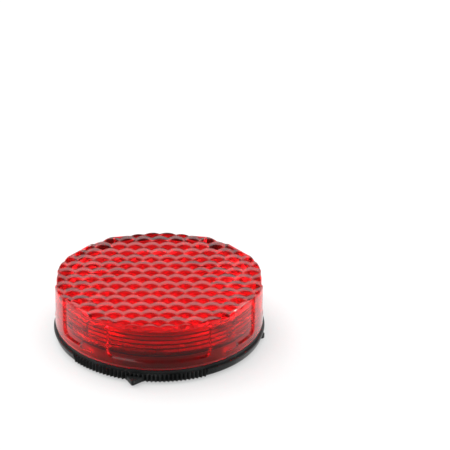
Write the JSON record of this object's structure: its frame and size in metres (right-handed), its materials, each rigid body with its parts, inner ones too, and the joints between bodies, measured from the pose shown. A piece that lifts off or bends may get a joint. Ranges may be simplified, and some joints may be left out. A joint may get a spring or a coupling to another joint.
{
  "type": "stick-on warning flasher",
  "caption": "Small round stick-on warning flasher: clear red honeycomb lens that twists on a black knurled base with a pointer, holding a coin cell board with lamps and a magnet switch.",
  "frame": {"origin": "on the lamp's axis, at the outer face of the release liner, which is the face that is stuck down", "axes": "+Z out through the lens, square to the stuck face; the moulded pointer on the base's rim aims along -Y; +X completes a right-handed frame"},
  "size_m": [0.0372, 0.038, 0.0106],
  "materials": {
    "base_black": "satin moulded ABS",
    "pad_foam": "matt closed-cell foam tape",
    "liner_paper": "smooth siliconed paper",
    "lens_red": "clear red moulded plastic",
    "board_mask": "white solder-masked glass laminate",
    "screw_steel": "zinc plated",
    "cell_steel": "nickel-plated, fine brushed",
    "gasket_nylon": "matt nylon",
    "holder_plastic": "natural matt moulded nylon",
    "contact_steel": "bright spring steel",
    "led_white": "white moulded package",
    "led_resin": "clear resin",
    "tinned_metal": "tinned",
    "reed_glass": "clear greenish glass",
    "chip_epoxy": "matt moulded epoxy",
    "resistor_black": "glazed top",
    "capacitor_tan": "fired ceramic"
  },
  "bodies": {
    "base": {"adhesive_foam_pad": "pad_foam", "base_shell": "base_black", "board_screw_1": "screw_steel", "board_screw_2": "screw_steel", "board_screw_3": "screw_steel", "capacitor": "capacitor_tan", "cell_holder": "holder_plastic", "circuit_board": "board_mask", "coin_cell_can": "cell_steel", "coin_cell_cap": "cell_steel", "coin_cell_gasket": "gasket_nylon", "controller_chip": "chip_epoxy", "controller_pins": "tinned_metal", "led_package_1": "led_white", "led_package_2": "led_white", "led_package_3": "led_white", "led_package_4": "led_white", "led_package_5": "led_white", "led_terminals_1": "tinned_metal", "led_terminals_2": "tinned_metal", "led_terminals_3": "tinned_metal", "led_terminals_4": "tinned_metal", "led_terminals_5": "tinned_metal", "led_window_1": "led_resin", "led_window_2": "led_resin", "led_window_3": "led_resin", "led_window_4": "led_resin", "led_window_5": "led_resin", "negative_spring": "contact_steel", "positive_clip": "contact_steel", "reed_glass": "reed_glass", "reed_lead_left": "tinned_metal", "reed_lead_right": "tinned_metal", "release_liner": "liner_paper", "resistor_1": "resistor_black", "resistor_2": "resistor_black", "resistor_3": "resistor_black", "resistor_4": "resistor_black", "resistor_5": "resistor_black"},
    "lens": {"lens_cap": "lens_red"}
  },
  "joints": [
    {"name": "lens_twist", "type": "hinge", "parent": "base", "child": "lens", "pos_m": [0, 0, 0.005], "axis": [0, 0, 1], "range_deg": [-12, 13]}
  ]
}
